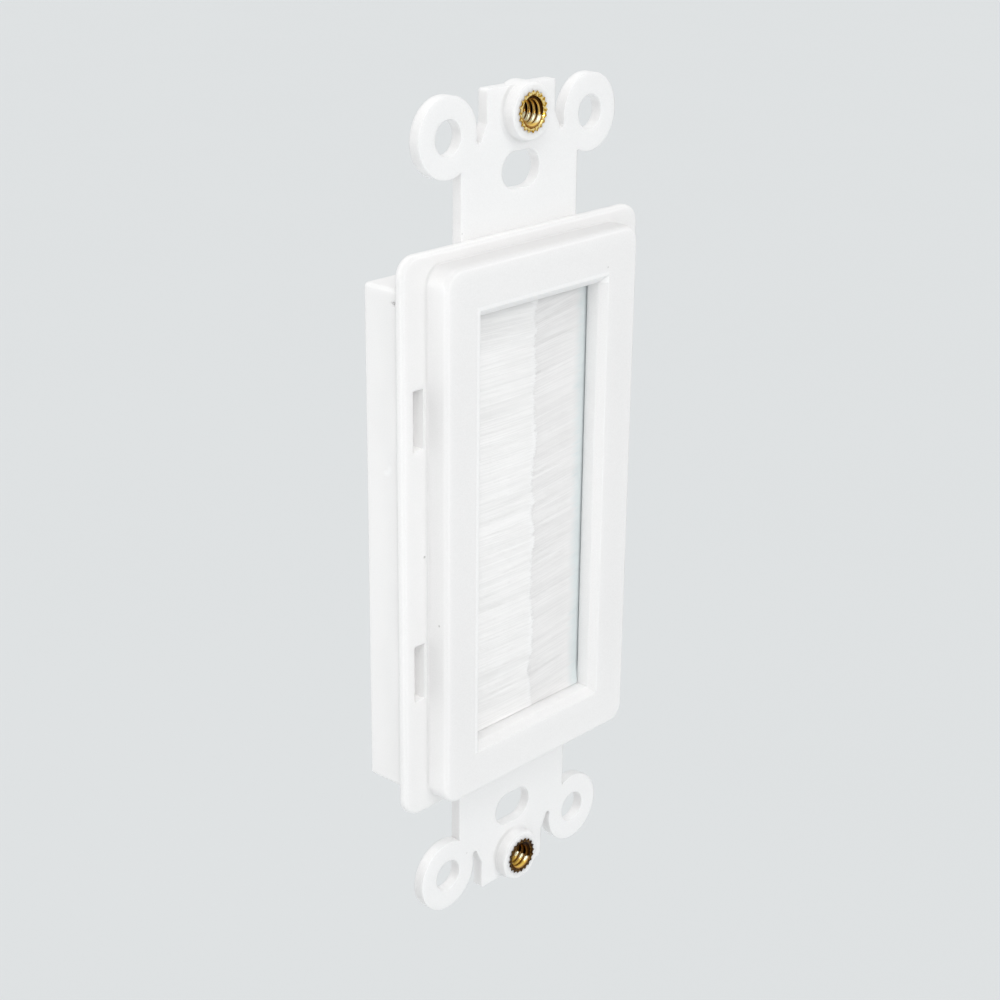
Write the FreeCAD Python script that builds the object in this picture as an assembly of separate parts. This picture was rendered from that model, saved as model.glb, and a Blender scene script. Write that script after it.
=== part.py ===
"""Brush cable grommet: a single-gang insert whose opening is closed by two strips of white bristles.

Millimetres. X is across the wall, Y goes into the wall and Z is up. The origin is the centre of the
insert on the plane where its mounting strap lies against the wall, so the face that is seen in the
room looks along -Y.
"""
import FreeCAD, Part
import math
import os

from FreeCAD import Vector

# Screw patterns that every single-gang wall box and cover plate share
cover_screw_spacing = 96.84
box_screw_spacing = 83.34

# Mounting strap, with a tab and two ring-shaped ears at each end
strap_thickness = 1.4
strap_width = 19.8
tab_width = 11.5
tab_past_screw = 3.0
tab_corner = 0.4
ear_spacing_x = 24.0
ear_spacing_z = 93.5
ear_diameter = 9.3
ear_hole_diameter = 4.1
slit_depth = 3.0
slit_tip_radius = 0.35
slit_slant = 1.8
box_slot_length = 6.4
box_slot_width = 4.4

# Screw bosses and their brass inserts
boss_height = 1.7
boss_diameter = 6.5
boss_draft = 0.15
boss_foot_fillet = 0.4
boss_edge_round = 0.2
insert_diameter = 4.8
insert_bore = 3.5
insert_proud = 0.12
insert_rear_recess = 0.1
insert_knurl_depth = 0.3
insert_teeth = 20
insert_groove_width = 0.5
insert_groove_wall = 0.25
insert_mouth_chamfer = 0.2
insert_fit = 0.01

# Raised bezel that fills the cover plate's opening
bezel_width = 33.3
bezel_height = 66.7
bezel_rise = 3.2
bezel_corner = 2.2
bezel_edge_round = 0.6
bezel_foot_fillet = 0.3
bezel_wall = 1.3

# Flange that the cover plate rests on
flange_past_bezel_x = 3.7
flange_past_bezel_z = 1.45
flange_thickness = 1.1
flange_corner = 2.4
flange_edge_round = 0.5

# Face of the bezel and its opening for the cables, with a mitred bevel in front and a lip behind
face_border_x = 6.25
face_border_z = 6.35
face_thickness = 1.5
opening_bevel = 0.85
lip_depth = 2.6
lip_wall = 1.2

# Box skirt behind the flange
skirt_short_of_bezel_z = 2.35
skirt_depth = 5.6
skirt_wall = 1.0
skirt_corner = 0.45
skirt_rim_round = 0.3
skirt_notch_height = 1.4
skirt_notch_depth = 1.3
skirt_notch_into_wall = 0.35
skirt_notch_from_top = 1.6

# Snap barbs inside the skirt, each under a window in the flange
window_width = 1.65
window_height = 7.2
window_spacing_z = 31.6
barb_overhang = 0.9
barb_land = 0.4
barb_ramp = 2.0
barb_side_gap = 0.1

# Seat for the rear retainer
seat_wall = 1.8
seat_rise = 1.0
seat_pad_width = 1.2
seat_pad_spacing = 12.0
strip_rib_width = 1.0
strip_rib_count = 7
strip_tuck = 0.15

# Rear retainer, a flat frame snapped in behind the brush strips
retainer_thickness = 1.6
retainer_side_gap = 0.25
retainer_snap_gap = 0.05
retainer_opening_extra = 0.2
retainer_rim_height = 1.0
retainer_rim_wall = 1.2
retainer_corner = 1.0

# Brush strips: a crimped channel, a core wire and a pack of bristles each
channel_wall = 0.5
channel_side_gap = 0.2
channel_end_gap = 0.3
channel_back_gap = 0.05
channel_crimp = 0.15
wire_diameter = 0.9
wire_from_floor = 0.45
pack_gap = 0.05
pack_end_gap = 0.25
pack_bulge_front = 0.25
pack_bulge_back = 0.2
pack_back_clear = 0.2
tip_overlap = 1.5
tip_gap = 0.12
tip_round = 0.2
tip_ripple = 0.35
step_from_tip = 0.6
step_run = 0.6
tuft_count = 34
tuft_ripple = 0.14
tuft_droop = 0.09

# Sizes, planes and half sizes that follow from the values above
flange_width = bezel_width + 2 * flange_past_bezel_x
flange_height = bezel_height + 2 * flange_past_bezel_z
opening_width = bezel_width - 2 * face_border_x
opening_height = bezel_height - 2 * face_border_z
strip_rib_pitch = opening_height / (strip_rib_count - 0.5)
strap_front = -strap_thickness
flange_front = strap_front - flange_thickness
bezel_front = flange_front - bezel_rise
boss_front = strap_front - boss_height
skirt_rear = strap_front + skirt_depth
lip_rear = bezel_front + lip_depth
hollow_front = bezel_front + face_thickness
seat_rear = strap_front + seat_rise
strip_front = lip_rear - strip_tuck
hollow_half_x = bezel_width / 2 - bezel_wall
seat_outer_x = hollow_half_x + seat_wall
skirt_inner_x = seat_outer_x + window_width
skirt_width = 2 * (skirt_inner_x + skirt_wall)
skirt_height = bezel_height - 2 * skirt_short_of_bezel_z
skirt_inner_z = skirt_height / 2 - skirt_wall
lip_outer_x = opening_width / 2 + lip_wall
lip_outer_z = opening_height / 2 + lip_wall
cover_screw_z = cover_screw_spacing / 2
box_screw_z = box_screw_spacing / 2
tab_end_z = cover_screw_z + tab_past_screw
retainer_rear = seat_rear + retainer_thickness
insert_front = boss_front - insert_proud
insert_rear = -insert_rear_recess
channel_inner_x = lip_outer_x + channel_side_gap
channel_outer_x = hollow_half_x - channel_side_gap
channel_rear = seat_rear - channel_back_gap
channel_middle = (strip_front + channel_rear) / 2
channel_half_z = skirt_inner_z - channel_end_gap
pack_half_z = lip_outer_z - pack_end_gap

TO_WALL = Vector(0, 1, 0)
UP = Vector(0, 0, 1)


def block(x0, x1, y0, y1, z0, z1):
    """Box between two corners."""
    return Part.makeBox(x1 - x0, y1 - y0, z1 - z0, Vector(x0, y0, z0))


def slab(width, height, front, rear, corner=0.0):
    """Upright plate centred on the origin, with its four corners rounded."""
    plate = block(-width / 2, width / 2, front, rear, -height / 2, height / 2)
    if corner > 0:
        sides = [e for e in plate.Edges if abs(e.tangentAt(e.FirstParameter).y) > 0.9]
        plate = plate.makeFillet(corner, sides)
    return plate


def pin(diameter, front, rear, x=0.0, z=0.0):
    """Round bar along Y."""
    return Part.makeCylinder(diameter / 2, rear - front, Vector(x, front, z), TO_WALL)


def edges_at(shape, y):
    """Edges that lie in the upright plane at y."""
    return [e for e in shape.Edges if all(abs(v.Y - y) < 1e-6 for v in e.Vertexes)]


def prism(points, start, along):
    """Closed outline swept along a vector; points are (x, y, z) offsets from start."""
    corners = [start + Vector(*p) for p in points]
    return Part.Face(Part.makePolygon(corners + corners[:1])).extrude(along)


def fuse_all(shapes):
    """One solid from many that touch or overlap, with its seams taken out."""
    return shapes[0].multiFuse(shapes[1:]).removeSplitter()


def mirrored(shape, normal):
    """Copy of a shape on the other side of the origin's plane."""
    return shape.mirror(Vector(0, 0, 0), normal)


def both_ends(shape):
    """The shape at the upper end, and its mirror image at the lower end."""
    return [shape, mirrored(shape, UP)]


def all_corners(shape):
    """The shape and its mirror images left, right, above and below."""
    return [s for half in both_ends(shape) for s in (half, mirrored(half, Vector(1, 0, 0)))]


def knurl(rear, grow=0.0):
    """Straight V-knurled bar of the insert's outline, from its front back to rear."""
    crest = insert_diameter / 2 + grow
    root = crest - insert_knurl_depth
    points = []
    for step in range(2 * insert_teeth):
        angle = math.pi * step / insert_teeth
        radius = crest if step % 2 == 0 else root
        points.append((radius * math.cos(angle), 0, radius * math.sin(angle)))
    return prism(points, Vector(0, insert_front, cover_screw_z), TO_WALL * (rear - insert_front))


def screw_insert():
    """Brass insert: knurled bar with a groove round its middle and a bore chamfered at both ends."""
    front = insert_front
    rear = insert_rear
    middle = (front + rear) / 2
    body = knurl(rear)
    groove_front = middle - insert_groove_width / 2
    groove_rear = middle + insert_groove_width / 2
    groove_core = insert_bore + 2 * insert_groove_wall
    groove = pin(insert_diameter + 1, groove_front, groove_rear, z=cover_screw_z)
    groove = groove.cut(pin(groove_core, groove_front, groove_rear, z=cover_screw_z))
    bore = pin(insert_bore, front, rear, z=cover_screw_z)
    wide = insert_bore / 2 + insert_mouth_chamfer
    mouth = Part.makeCone(wide, insert_bore / 2, insert_mouth_chamfer, Vector(0, front, cover_screw_z), TO_WALL)
    exit_cone = Part.makeCone(wide, insert_bore / 2, insert_mouth_chamfer, Vector(0, rear, cover_screw_z), -TO_WALL)
    return body.cut(groove).cut(bore).cut(mouth).cut(exit_cone)


def boss():
    """Round boss on the strap, drafted, with a fillet round its foot and a soft front edge."""
    base = boss_diameter / 2 + boss_draft
    top = boss_diameter / 2
    cone = Part.makeCone(base, top, boss_height, Vector(0, strap_front, cover_screw_z), -TO_WALL)
    cone = cone.makeFillet(boss_edge_round, edges_at(cone, boss_front))
    root = pin(2 * base, strap_front, 0, z=cover_screw_z)
    ring = pin(2 * (base + boss_foot_fillet), strap_front - boss_foot_fillet, strap_front, z=cover_screw_z)
    cove = Part.makeTorus(base + boss_foot_fillet, boss_foot_fillet,
                          Vector(0, strap_front - boss_foot_fillet, cover_screw_z), TO_WALL)
    tab = block(-tab_width / 2, tab_width / 2, strap_front - boss_foot_fillet, 0, box_screw_z, tab_end_z)
    foot = ring.cut(cove).common(tab)
    return fuse_all([root, cone, foot])


def strap_end():
    """Upper end of the strap: tab, two slits, two ring ears, screw boss and the slot for the box screw."""
    half = strap_width / 2
    ear_x = ear_spacing_x / 2
    ear_z = ear_spacing_z / 2
    neck_z = cover_screw_z - slit_depth
    slit_x = ear_x - ear_diameter / 2 - slit_tip_radius
    tip_z = neck_z + slit_tip_radius
    plate = block(-half, half, strap_front, 0, skirt_inner_z, tip_z + slit_slant)
    tab = block(-tab_width / 2, tab_width / 2, strap_front, 0, box_screw_z, tab_end_z)
    corners = [e for e in tab.Edges if abs(e.tangentAt(e.FirstParameter).y) > 0.9 and e.CenterOfMass.z > cover_screw_z]
    tab = tab.makeFillet(tab_corner, corners)
    end = plate.fuse(tab)
    # the slit slants away from the tab down to a round tip beside the ear
    slit = prism([(tab_width / 2, 0, tip_z + slit_slant),
                  (slit_x - slit_tip_radius, 0, tip_z),
                  (slit_x + 2 * slit_tip_radius, 0, tip_z),
                  (slit_x + 2 * slit_tip_radius, 0, tip_z + slit_slant)],
                 Vector(0, strap_front, 0), TO_WALL * strap_thickness)
    slit = slit.fuse(pin(2 * slit_tip_radius, strap_front, 0, slit_x, tip_z))
    end = end.cut(slit).cut(mirrored(slit, Vector(1, 0, 0)))
    ears = [pin(ear_diameter, strap_front, 0, side * ear_x, ear_z) for side in (-1, 1)]
    end = fuse_all([end] + ears + [boss()])
    for side in (-1, 1):
        end = end.cut(pin(ear_hole_diameter, strap_front, 0, side * ear_x, ear_z))
    straight = box_slot_length - box_slot_width
    slot = fuse_all([block(-straight / 2, straight / 2, strap_front, 0,
                           box_screw_z - box_slot_width / 2, box_screw_z + box_slot_width / 2),
                     pin(box_slot_width, strap_front, 0, -straight / 2, box_screw_z),
                     pin(box_slot_width, strap_front, 0, straight / 2, box_screw_z)])
    return end.cut(slot).cut(knurl(0, insert_fit))


def barb():
    """Snap barb on the right wall of the skirt: a flat catch, a short land and a long ramp."""
    wall = skirt_inner_x
    catch = retainer_rear + retainer_snap_gap
    tip = wall - barb_overhang
    outline = [(wall, catch, 0), (tip, catch, 0), (tip, catch + barb_land, 0),
               (wall, catch + barb_land + barb_ramp, 0)]
    height = window_height - 2 * barb_side_gap
    return prism(outline, Vector(0, 0, window_spacing_z / 2 - height / 2), UP * height)


def front_frame():
    """White moulding in one piece: strap, flange, hollow bezel, and the box skirt with its barbs."""
    flange = slab(flange_width, flange_height, flange_front, strap_front, flange_corner)
    flange = flange.makeFillet(flange_edge_round, edges_at(flange, flange_front))
    bezel = slab(bezel_width, bezel_height, bezel_front, strap_front, bezel_corner)
    bezel = bezel.makeFillet(bezel_edge_round, edges_at(bezel, bezel_front))
    front = flange.fuse(bezel)
    foot = [e for e in edges_at(front, flange_front)
            if abs(e.CenterOfMass.x) < bezel_width / 2 + 0.01 and abs(e.CenterOfMass.z) < bezel_height / 2 + 0.01]
    front = front.makeFillet(bezel_foot_fillet, foot)

    skirt = slab(skirt_width, skirt_height, strap_front, skirt_rear, skirt_corner)
    skirt = skirt.makeFillet(skirt_rim_round, edges_at(skirt, skirt_rear))
    body = fuse_all([front, skirt] + both_ends(strap_end()))

    # room for the retainer, then for the strips, down to the back of the face; what stays is the seat
    body = body.cut(slab(2 * skirt_inner_x, 2 * skirt_inner_z, seat_rear, skirt_rear))
    body = body.cut(slab(2 * hollow_half_x, 2 * skirt_inner_z, hollow_front, seat_rear))

    # lip round the opening, the ribs that carry the strips, and the pads under the retainer's ends
    lip = slab(2 * lip_outer_x, 2 * lip_outer_z, hollow_front, lip_rear)
    rib_rear = strip_front
    ribs = []
    for number in range(strip_rib_count):
        z = (number - (strip_rib_count - 1) / 2) * strip_rib_pitch
        ribs.append(block(-hollow_half_x, hollow_half_x, hollow_front, rib_rear,
                          z - strip_rib_width / 2, z + strip_rib_width / 2))
    pads = [p for side in (-1, 1) for p in both_ends(
        block(side * seat_pad_spacing / 2 - seat_pad_width / 2, side * seat_pad_spacing / 2 + seat_pad_width / 2,
              hollow_front, seat_rear, lip_outer_z, skirt_inner_z))]
    body = fuse_all([body, lip] + ribs + pads + all_corners(barb()))

    # opening through the face, with its bevel mitred at the corners
    body = body.cut(slab(opening_width, opening_height, bezel_front, lip_rear))
    body = body.cut(bevel())
    for window in all_corners(block(seat_outer_x, skirt_inner_x, flange_front, seat_rear,
                                    (window_spacing_z - window_height) / 2, (window_spacing_z + window_height) / 2)):
        body = body.cut(window)

    # small blind notch in the skirt's left wall, close behind the flange
    top = skirt_height / 2 - skirt_notch_from_top + skirt_notch_height / 2
    notch = prism([(0, 0, 0), (0, 0, -skirt_notch_height), (0, skirt_notch_depth, -skirt_notch_height / 2)],
                  Vector(-skirt_width / 2, strap_front, top), Vector(skirt_notch_into_wall, 0, 0))
    return body.cut(notch).removeSplitter()


def bevel():
    """Frustum that cuts the bevel round the opening's front edge."""
    rings = []
    for y, grow in ((bezel_front, opening_bevel), (bezel_front + opening_bevel, 0.0)):
        x = opening_width / 2 + grow
        z = opening_height / 2 + grow
        corners = [Vector(-x, y, -z), Vector(x, y, -z), Vector(x, y, z), Vector(-x, y, z)]
        rings.append(Part.makePolygon(corners + corners[:1]))
    return Part.makeLoft(rings, True, True)


def rear_retainer():
    """Flat frame with a raised rim round its opening, held against the seat by the four barbs."""
    width = 2 * (skirt_inner_x - retainer_side_gap)
    height = 2 * (skirt_inner_z - retainer_side_gap)
    plate = slab(width, height, seat_rear, retainer_rear, retainer_corner)
    clear_width = opening_width + 2 * retainer_opening_extra
    clear_height = opening_height + 2 * retainer_opening_extra
    rim = slab(clear_width + 2 * retainer_rim_wall, clear_height + 2 * retainer_rim_wall,
               retainer_rear, retainer_rear + retainer_rim_height, retainer_corner + retainer_rim_wall)
    hole = slab(clear_width, clear_height, seat_rear, retainer_rear + retainer_rim_height, retainer_corner)
    return fuse_all([plate, rim]).cut(hole)


def brush_channel():
    """Channel of the right-hand strip: a U of sheet whose two edges are crimped on to the bristles."""
    x0 = channel_inner_x
    x1 = channel_outer_x
    wall = channel_wall
    crimp = channel_crimp
    outline = [(x1, strip_front, 0), (x1, channel_rear, 0), (x0, channel_rear, 0),
               (x0, channel_rear - wall - crimp, 0), (x0 + wall, channel_rear - wall - crimp, 0),
               (x0 + 2 * wall, channel_rear - wall, 0), (x1 - wall, channel_rear - wall, 0),
               (x1 - wall, strip_front + wall, 0), (x0 + 2 * wall, strip_front + wall, 0),
               (x0 + wall, strip_front + wall + crimp, 0), (x0, strip_front + wall + crimp, 0),
               (x0, strip_front, 0)]
    return prism(outline, Vector(0, 0, -channel_half_z), UP * 2 * channel_half_z)


def wire_x():
    """Distance of the core wires from the centre."""
    return channel_outer_x - channel_wall - wire_from_floor - wire_diameter / 2


def core_wire():
    """Wire of the right-hand strip, which the bristles are folded over."""
    return Part.makeCylinder(wire_diameter / 2, 2 * channel_half_z, Vector(wire_x(), channel_middle, -channel_half_z), UP)


def bristles(in_front):
    """Bristle pack of the right-hand strip: tufts side by side, drooping towards their tips.

    The strip in front has its tips before the other's, past the middle of the opening, and the
    other strip's tips end behind them.
    """
    root_half = (channel_rear - strip_front) / 2 - channel_wall - pack_gap
    mouth_half = root_half - channel_crimp
    floor_x = channel_outer_x - channel_wall - pack_gap
    mouth_x = channel_inner_x
    full_front = lip_rear - pack_gap
    full_back = seat_rear - pack_gap - pack_back_clear
    middle = (full_front + full_back) / 2
    full_x = opening_width / 4
    step_x = tip_overlap + step_from_tip
    pitch = 2 * pack_half_z / tuft_count
    reach = floor_x + tip_overlap
    tufts = []
    for number in range(-2, tuft_count + math.ceil(reach * tuft_droop / pitch)):
        ripple = tuft_ripple * math.sin(2.4 * number)
        tip_x = -tip_overlap + tip_ripple * math.sin(1.7 * number)
        front = full_front + abs(ripple)
        back = full_back - abs(ripple)
        if in_front:
            tip_front = front - pack_bulge_front
            tip_back = middle - tip_gap / 2
            ends = [(step_x, tip_front), (tip_x, tip_front + tip_round), (tip_x, tip_back), (step_x, tip_back),
                    (step_x + step_run, back)]
        else:
            tip_front = middle + tip_gap / 2
            ends = [(step_x + step_run, front), (step_x, tip_front), (tip_x, tip_front), (tip_x, back)]
        profile = [(floor_x, channel_middle - root_half), (mouth_x + 2 * channel_wall, channel_middle - root_half),
                   (mouth_x + channel_wall, channel_middle - mouth_half), (mouth_x, channel_middle - mouth_half),
                   (full_x, front)]
        profile += ends
        profile += [(full_x, back), (mouth_x, channel_middle + mouth_half),
                    (mouth_x + channel_wall, channel_middle + mouth_half),
                    (mouth_x + 2 * channel_wall, channel_middle + root_half), (floor_x, channel_middle + root_half)]
        low = -pack_half_z + number * pitch
        points = [(x, y, (x - floor_x) * tuft_droop) for x, y in profile]
        tufts.append(prism(points, Vector(0, 0, low), UP * pitch))
    # the pack may bulge into the opening, and ends behind the lip above and below it
    inside_opening = slab(4 * floor_x, opening_height - 2 * pack_gap, bezel_front, skirt_rear)
    behind_lip = slab(4 * floor_x, 2 * pack_half_z, lip_rear + pack_gap, skirt_rear)
    pack = fuse_all(tufts).common(inside_opening.fuse(behind_lip))
    wire = Part.makeCylinder(wire_diameter / 2, 2 * skirt_height, Vector(wire_x(), channel_middle, -skirt_height), UP)
    return pack.cut(wire)


def save(name, shape):
    """Write one sub-part and print its size."""
    solids = len(shape.Solids)
    box = shape.BoundBox
    print(f"{name}: {solids} solid, {shape.Volume:.1f} mm3, "
          f"{box.XLength:.2f} x {box.YLength:.2f} x {box.ZLength:.2f} mm, valid {shape.isValid()}")
    shape.exportStep(f"parts/{name}.step")


os.makedirs("parts", exist_ok=True)
left = Vector(1, 0, 0)
save("front_frame", front_frame())
save("rear_retainer", rear_retainer())
save("brush_channel_right", brush_channel())
save("brush_channel_left", mirrored(brush_channel(), left))
save("core_wire_right", core_wire())
save("core_wire_left", mirrored(core_wire(), left))
save("bristles_right", bristles(in_front=False))
save("bristles_left", mirrored(bristles(in_front=True), left))
save("screw_insert_upper", screw_insert())
save("screw_insert_lower", mirrored(screw_insert(), UP))
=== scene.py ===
# %% [markdown]
# # A brush cable grommet, dressed for its portrait
#
# The object is a white moulded wall insert. Its opening is closed by two strips of fine nylon
# bristles, so that cables pass through the wall and draughts and dust stay behind it. The hard
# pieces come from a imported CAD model. This lesson gives them real materials, and grows the
# bristles and the screw threads that the CAD model only hints at.
#
# Blender counts in metres. Small lengths are easier to read in millimetres, so most values below
# are in millimetres, and MM turns them into metres where they go into Blender. Seen from the room,
# X runs to the right, Y into the wall and Z up.

# %% Load the CAD frame and measure its pieces
import bpy
import math
import numpy as np
from mathutils import Matrix, Vector


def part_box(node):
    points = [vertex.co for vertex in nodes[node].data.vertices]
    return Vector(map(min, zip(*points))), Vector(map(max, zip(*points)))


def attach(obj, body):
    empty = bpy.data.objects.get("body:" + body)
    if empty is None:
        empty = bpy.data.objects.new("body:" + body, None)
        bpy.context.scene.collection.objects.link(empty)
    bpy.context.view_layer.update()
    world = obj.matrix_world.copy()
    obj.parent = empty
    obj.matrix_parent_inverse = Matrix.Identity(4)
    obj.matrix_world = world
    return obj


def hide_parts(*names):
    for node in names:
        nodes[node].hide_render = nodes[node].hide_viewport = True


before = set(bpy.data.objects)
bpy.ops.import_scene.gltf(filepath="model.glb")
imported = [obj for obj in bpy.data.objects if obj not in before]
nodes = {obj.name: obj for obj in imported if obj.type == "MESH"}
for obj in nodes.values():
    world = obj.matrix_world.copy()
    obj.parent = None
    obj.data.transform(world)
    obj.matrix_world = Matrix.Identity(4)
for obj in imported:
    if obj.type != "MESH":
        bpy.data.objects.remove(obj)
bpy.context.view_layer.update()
MM = 0.001
extent = {}
for name in sorted(nodes):
    low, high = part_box(name)
    ends = [(round(a / MM, 2), round(b / MM, 2)) for a, b in zip(low, high)]
    extent[name] = dict(zip("XYZ", ends))
    print(f"{name:22s} {[round((b - a) / MM, 2) for a, b in zip(low, high)]} mm")

# %% [markdown]
# ## The camera
#
# The portrait is taken from the object's left and from a little above. A camera can be placed
# with a matrix, but a photographer thinks of it as walking round the subject: how far round, how
# high, how far away, and how much the camera is tipped. So the values below are those four, and
# the point looked at. The lens is long, which keeps the upright edges nearly parallel.

# %% Place the camera: lens and sensor in mm, clip distances in metres
LOOK_AT = Vector((-0.94, 0.47, 0.70)) * MM
AZIMUTH = math.radians(-47.55)
ELEVATION = math.radians(21.10)
ROLL = math.radians(0.60)
DISTANCE = 240.0 * MM
LENS = 70.5
SENSOR = 36.0
CLIP_START, CLIP_END = 0.01, 50.0


def put(name, data):
    """New object in the scene's collection."""
    made = bpy.data.objects.new(name, data)
    bpy.context.scene.collection.objects.link(made)
    return made


def place_camera():
    """Walk the camera round the subject and aim it."""
    data = bpy.data.cameras.new("portrait_camera")
    data.lens = LENS
    data.sensor_width = SENSOR
    data.clip_start = CLIP_START
    data.clip_end = CLIP_END
    camera = put("portrait_camera", data)
    level = math.cos(ELEVATION)
    back = Vector((math.sin(AZIMUTH) * level, -math.cos(AZIMUTH) * level, math.sin(ELEVATION)))
    turn = back.to_track_quat("Z", "Y").to_matrix().to_4x4() @ Matrix.Rotation(ROLL, 4, "Z")
    camera.matrix_world = Matrix.Translation(LOOK_AT + back * DISTANCE) @ turn
    bpy.context.scene.camera = camera
    return camera


camera = place_camera()
print("camera at", [round(v / MM, 1) for v in camera.location], "mm, lens", LENS)

# %% [markdown]
# ## The studio
#
# The real picture shows the insert alone on a plain pale grey. Here the grey is the colour of the
# sky that the camera and the reflections see, and of a large floor far below, so no shadow comes
# into the picture. A material is a tree of nodes, and trees take many lines to write, so three
# helpers come first: one adds a node and its links, one starts a material, and one writes a colour.

# %% Helpers for node trees
def node(tree, kind, inputs=None, **settings):
    """New shader node. Inputs are values or the sockets that feed them."""
    made = tree.nodes.new(kind)
    for key, value in settings.items():
        setattr(made, key, value)
    for key, value in (inputs or {}).items():
        if isinstance(value, bpy.types.NodeSocket):
            tree.links.new(value, made.inputs[key])
        else:
            made.inputs[key].default_value = value
    return made


def new_material(name):
    """Empty node material; returns the material, its tree and its output."""
    material = bpy.data.materials.new(name)
    material.use_nodes = True
    material.node_tree.nodes.clear()
    return material, material.node_tree, node(material.node_tree, "ShaderNodeOutputMaterial")


def opaque(colour):
    """A colour of three numbers, with the fourth that Blender asks for."""
    return (*colour, 1.0)


# %% Sky
BACKDROP = (0.730, 0.753, 0.761)
WHITE = (1.0, 1.0, 1.0)
SKY_LIGHT = 0.616


def make_sky():
    """White light all round; the camera, gloss and glass see the backdrop grey instead."""
    world = bpy.data.worlds.new("studio_sky")
    world.use_nodes = True
    tree = world.node_tree
    tree.nodes.clear()
    rays = node(tree, "ShaderNodeLightPath").outputs
    seen = rays["Is Camera Ray"]
    for kind in ("Is Glossy Ray", "Is Transmission Ray"):
        seen = node(tree, "ShaderNodeMath", {0: seen, 1: rays[kind]}, operation="MAXIMUM").outputs[0]
    light = node(tree, "ShaderNodeBackground", {"Color": opaque(WHITE), "Strength": SKY_LIGHT})
    picture = node(tree, "ShaderNodeBackground", {"Color": opaque(BACKDROP), "Strength": 1.0})
    both = node(tree, "ShaderNodeMixShader", {0: seen, 1: light.outputs[0], 2: picture.outputs[0]})
    node(tree, "ShaderNodeOutputWorld", {"Surface": both.outputs[0]})
    bpy.context.scene.world = world


make_sky()
print("sky light", SKY_LIGHT, "and backdrop", BACKDROP)

# %% Floor: sizes in metres
FLOOR_DROP = 0.60
FLOOR_RADIUS = 6.0
FLOOR_CORNERS = 64
FLOOR_PAINT = 1.030
MOTTLE_LIGHTER = 1.01
MOTTLE_SCALE, MOTTLE_DETAIL = 3.0, 2.0


def body(name, points, faces, material):
    """New mesh object from points in metres and the faces that join them."""
    mesh = bpy.data.meshes.new(name)
    mesh.from_pydata(points, [], faces)
    mesh.materials.append(material)
    return put(name, mesh)


def make_floor():
    """A wide disc of matt grey, faintly mottled as painted board is."""
    material, tree, out = new_material("studio_floor")
    place = node(tree, "ShaderNodeTexCoord").outputs["Object"]
    texture = {"Vector": place, "Scale": MOTTLE_SCALE, "Detail": MOTTLE_DETAIL}
    mottle = node(tree, "ShaderNodeTexNoise", texture)
    paint = node(tree, "ShaderNodeValToRGB", {"Fac": mottle.outputs[0]})
    for stop, share in zip(paint.color_ramp.elements, (FLOOR_PAINT, MOTTLE_LIGHTER * FLOOR_PAINT)):
        stop.color = opaque([share * c for c in BACKDROP])
    matt = node(tree, "ShaderNodeBsdfDiffuse", {"Color": paint.outputs[0]})
    tree.links.new(matt.outputs[0], out.inputs["Surface"])
    turns = [2 * math.pi * corner / FLOOR_CORNERS for corner in range(FLOOR_CORNERS)]
    rim = [(FLOOR_RADIUS * math.cos(turn), FLOOR_RADIUS * math.sin(turn), 0.0) for turn in turns]
    floor = body("floor", rim, [list(range(FLOOR_CORNERS))], material)
    floor.location = (0.0, 0.0, -FLOOR_DROP)


make_floor()
print("floor", FLOOR_DROP, "m below the middle of the insert")

# %% [markdown]
# ## The lamps
#
# The white sky alone would do most of the lighting. Five lamps each lift the faces turned one
# way: one above, one at the upper left in front, one at the left side, and a small one that hardly
# lights the plastic but sparkles in the brass. The fifth hangs close to the insert and near the
# camera, so its light reaches into the narrow recesses that the camera sees, and fades a little
# down to the lower strap, as in the picture.
#
# Sun lamps with a wide angle give soft shadows that don't fade with distance, so the floor stays
# even right out to the horizon. Only the near lamp is a spot. For every lamp, level 1 would alone
# show a white face turned towards it as white, so the levels can be compared.

# %% Place the lamps: angles in degrees, lengths in metres
TOP = {"toward": (-0.30, 0.10, 0.95), "level": 0.149, "angle": 40.0}
KEY = {"toward": (-0.35, -0.45, 0.82), "level": 0.198, "angle": 30.0}
SIDE = {"toward": (-0.97, 0.15, 0.15), "level": 0.096, "angle": 60.0}
SPARK = {"toward": (0.10, -0.88, 0.46), "level": 0.07, "angle": 12.0}
NEAR = {"toward": (-0.60, -0.72, 0.34), "level": 0.276, "away": 0.30, "size": 0.07,
        "cone": 30.0, "blur": 0.6}


def hang(data, toward, away=0.0):
    """Turn a lamp so that its light comes from the given side, some metres from the insert."""
    lamp = put(data.name, data)
    lamp.location = Vector(toward).normalized() * away
    lamp.rotation_mode = "QUATERNION"
    lamp.rotation_quaternion = Vector(toward).to_track_quat("Z", "Y")
    return lamp


def sun(name, toward, level, angle):
    """Sun lamp, whose light is softer the wider its angle."""
    data = bpy.data.lights.new(name, "SUN")
    data.energy = level * math.pi
    data.angle = math.radians(angle)
    return hang(data, toward)


def soft_spot(name, toward, level, away, size, cone, blur):
    """Soft spot lamp at a given distance, aimed at the insert and hidden from the camera."""
    data = bpy.data.lights.new(name, "SPOT")
    data.energy = level * (2 * math.pi * away) ** 2
    data.spot_size = math.radians(cone)
    data.spot_blend = blur
    data.shadow_soft_size = size
    lamp = hang(data, toward, away)
    lamp.visible_camera = False
    return lamp


lamps = [sun("top", **TOP), sun("key", **KEY), sun("side", **SIDE), sun("spark", **SPARK)]
lamps.append(soft_spot("near", **NEAR))
bpy.context.scene.view_settings.view_transform = "Standard"
print("lamps:", ", ".join(f"{lamp.name} {lamp.data.energy:.2f}" for lamp in lamps))

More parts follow.
